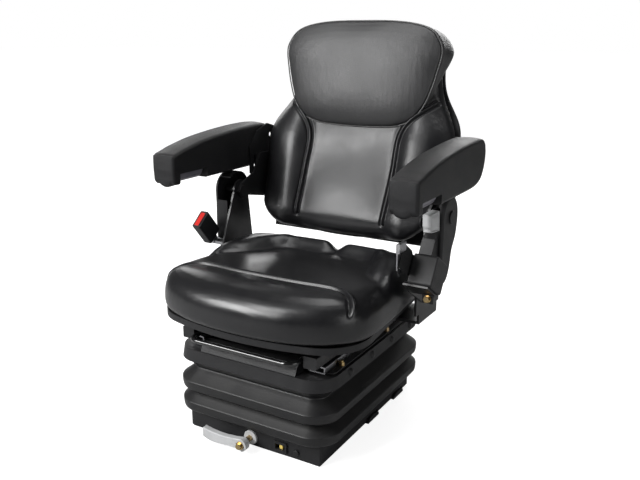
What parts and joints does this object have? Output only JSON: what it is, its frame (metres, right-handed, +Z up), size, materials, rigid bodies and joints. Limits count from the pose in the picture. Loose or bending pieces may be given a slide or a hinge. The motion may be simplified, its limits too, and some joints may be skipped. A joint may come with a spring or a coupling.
{
  "type": "tractor suspension seat",
  "caption": "Mechanically sprung vehicle seat with scissor suspension in a bellows, fore-aft slide, reclining back, head pad, folding armrests and lap belt.",
  "frame": {"origin": "on the floor, at the middle of the four slotted mounting holes in the base", "axes": "+Z up, the seat faces -Y, +X towards the belt reel, on a viewer's right from the front"},
  "size_m": [0.6096, 0.6051, 0.8296],
  "materials": {
    "black_steel": "satin black paint",
    "bare_steel": "bright drawn steel",
    "yellow_zinc": "yellow passivated zinc",
    "black_plastic": "fine grained black plastic",
    "grey_plastic": "light grey moulded plastic",
    "pointer_yellow": "yellow plastic",
    "bellows_rubber": "satin black rubber",
    "seat_leather": "glossy black coated fabric with a fine grain",
    "red_plastic": "red plastic",
    "belt_fabric": "woven black webbing"
  },
  "bodies": {
    "base": {"base_frame": "black_steel", "base_cover": "black_plastic", "crank_bush": "grey_plastic", "window_bezel": "black_plastic", "cover_plug": "grey_plastic", "lower_pivot_pins": "bare_steel", "damper_tube": "black_steel", "bellows": "bellows_rubber", "tension_springs": "bare_steel"},
    "weight_pointer": {"weight_indicator": "pointer_yellow"},
    "crank": {"crank_spindle": "yellow_zinc", "crank_handle": "grey_plastic", "crank_screw": "yellow_zinc"},
    "carriage": {"spring_carriage": "black_steel"},
    "outer_arms": {"outer_arm_left": "black_steel", "outer_arm_right": "black_steel", "upper_roller_shaft": "bare_steel", "scissor_pins": "bare_steel"},
    "inner_arms": {"inner_arm_left": "black_steel", "inner_arm_right": "black_steel", "lower_roller_shaft": "bare_steel"},
    "upper_rollers": {"upper_rollers": "black_plastic"},
    "lower_rollers": {"lower_rollers": "black_plastic"},
    "suspended_frame": {"upper_frame": "black_steel", "upper_pivot_pins": "bare_steel", "bellows_collar": "black_plastic", "collar_clips": "black_plastic", "damper_rod": "bare_steel", "lower_rail_left": "bare_steel", "lower_rail_right": "bare_steel", "rail_bolts": "yellow_zinc"},
    "seat": {"upper_rail_left": "black_steel", "upper_rail_right": "black_steel", "seat_pan": "black_steel", "seat_cushion": "seat_leather", "side_plate_left": "black_steel", "side_plate_right": "black_steel", "side_cover_left": "black_plastic", "side_cover_right": "black_plastic", "belt_reel": "black_plastic", "reel_bracket": "black_steel", "reel_bolt": "yellow_zinc", "belt_webbing": "belt_fabric", "belt_tongue": "bare_steel"},
    "towel_bar": {"towel_bar": "black_steel"},
    "buckle": {"buckle_body": "black_plastic", "buckle_stalk": "bare_steel"},
    "buckle_button": {"buckle_button": "red_plastic"},
    "recline_lever": {"recline_lever": "grey_plastic"},
    "backrest": {"back_frame": "black_plastic", "back_cushion": "seat_leather", "head_pad": "seat_leather", "pivot_bolts": "black_plastic", "armrest_bracket_left": "black_steel", "armrest_bracket_right": "black_steel"},
    "armrest_left": {"armrest_left": "black_plastic"},
    "armrest_right": {"armrest_right": "black_plastic"},
    "tilt_roller_left": {"tilt_roller_left": "grey_plastic"},
    "tilt_roller_right": {"tilt_roller_right": "grey_plastic"}
  },
  "joints": [
    {"name": "suspension_travel", "type": "slide", "parent": "base", "child": "suspended_frame", "axis": [0, 0, 1], "range_m": [-0.06, 0], "stiffness_N_per_m": 12000, "springref_m": 0.03, "deforming": ["bellows", "tension_springs"]},
    {"name": "outer_arm_swing", "type": "hinge", "parent": "base", "child": "outer_arms", "pos_m": [0, -0.15, 0.0179], "axis": [1, 0, 0], "range_deg": [-12, 0]},
    {"name": "inner_arm_swing", "type": "hinge", "parent": "suspended_frame", "child": "inner_arms", "pos_m": [0, -0.15, 0.1729], "axis": [1, 0, 0], "range_deg": [0, 12]},
    {"name": "upper_roller_spin", "type": "hinge", "parent": "outer_arms", "child": "upper_rollers", "pos_m": [0, 0.12995, 0.1729], "axis": [1, 0, 0], "continuous": true},
    {"name": "lower_roller_spin", "type": "hinge", "parent": "inner_arms", "child": "lower_rollers", "pos_m": [0, 0.12995, 0.0179], "axis": [1, 0, 0], "continuous": true},
    {"name": "crank_turn", "type": "hinge", "parent": "base", "child": "crank", "pos_m": [0, -0.205, 0.022], "axis": [0, 1, 0], "range_deg": [-720, 720]},
    {"name": "weight_pointer_slide", "type": "slide", "parent": "base", "child": "weight_pointer", "axis": [1, 0, 0], "range_m": [-0.006, 0.006]},
    {"name": "carriage_slide", "type": "slide", "parent": "base", "child": "carriage", "axis": [0, -1, 0], "range_m": [-0.008, 0.008], "deforming": ["tension_springs"]},
    {"name": "fore_aft_slide", "type": "slide", "parent": "suspended_frame", "child": "seat", "axis": [0, -1, 0], "range_m": [-0.075, 0.075]},
    {"name": "towel_bar_lift", "type": "hinge", "parent": "seat", "child": "towel_bar", "pos_m": [0, -0.13, 0.219], "axis": [-1, 0, 0], "range_deg": [0, 5], "stiffness_Nm_per_rad": 3, "springref_deg": -6.88},
    {"name": "backrest_recline", "type": "hinge", "parent": "seat", "child": "backrest", "pos_m": [0, 0.105, 0.444], "axis": [-1, 0, 0], "range_deg": [-8, 12]},
    {"name": "recline_lever_lift", "type": "hinge", "parent": "seat", "child": "recline_lever", "pos_m": [0.25, 0.105, 0.444], "axis": [-1, 0, 0], "range_deg": [0, 7], "stiffness_Nm_per_rad": 2, "springref_deg": -17.19},
    {"name": "armrest_left_fold", "type": "hinge", "parent": "backrest", "child": "armrest_left", "pos_m": [-0.275, 0.196, 0.556], "axis": [-1, 0, 0], "range_deg": [0, 80]},
    {"name": "armrest_right_fold", "type": "hinge", "parent": "backrest", "child": "armrest_right", "pos_m": [0.275, 0.196, 0.556], "axis": [-1, 0, 0], "range_deg": [0, 80]},
    {"name": "tilt_roller_left_turn", "type": "hinge", "parent": "armrest_left", "child": "tilt_roller_left", "pos_m": [-0.2751, -0.055, 0.515], "axis": [0, 1, 0], "continuous": true},
    {"name": "tilt_roller_right_turn", "type": "hinge", "parent": "armrest_right", "child": "tilt_roller_right", "pos_m": [0.2751, -0.055, 0.515], "axis": [0, 1, 0], "continuous": true},
    {"name": "buckle_swing", "type": "hinge", "parent": "seat", "child": "buckle", "pos_m": [-0.2785, 0.05071, 0.32918], "axis": [1, 0, 0], "range_deg": [-4, 25]},
    {"name": "buckle_button_push", "type": "slide", "parent": "buckle", "child": "buckle_button", "axis": [0, 0.6428, -0.766], "range_m": [0, 0.004], "stiffness_N_per_m": 600, "springref_m": -0.002}
  ],
  "couplings": [
    {"joint": "outer_arm_swing", "follows": "suspension_travel", "rad_per_m": 3.4038},
    {"joint": "inner_arm_swing", "follows": "suspension_travel", "rad_per_m": -3.4038},
    {"joint": "weight_pointer_slide", "follows": "crank_turn", "m_per_rad": 0.00047746},
    {"joint": "carriage_slide", "follows": "crank_turn", "m_per_rad": 0.00063662}
  ]
}
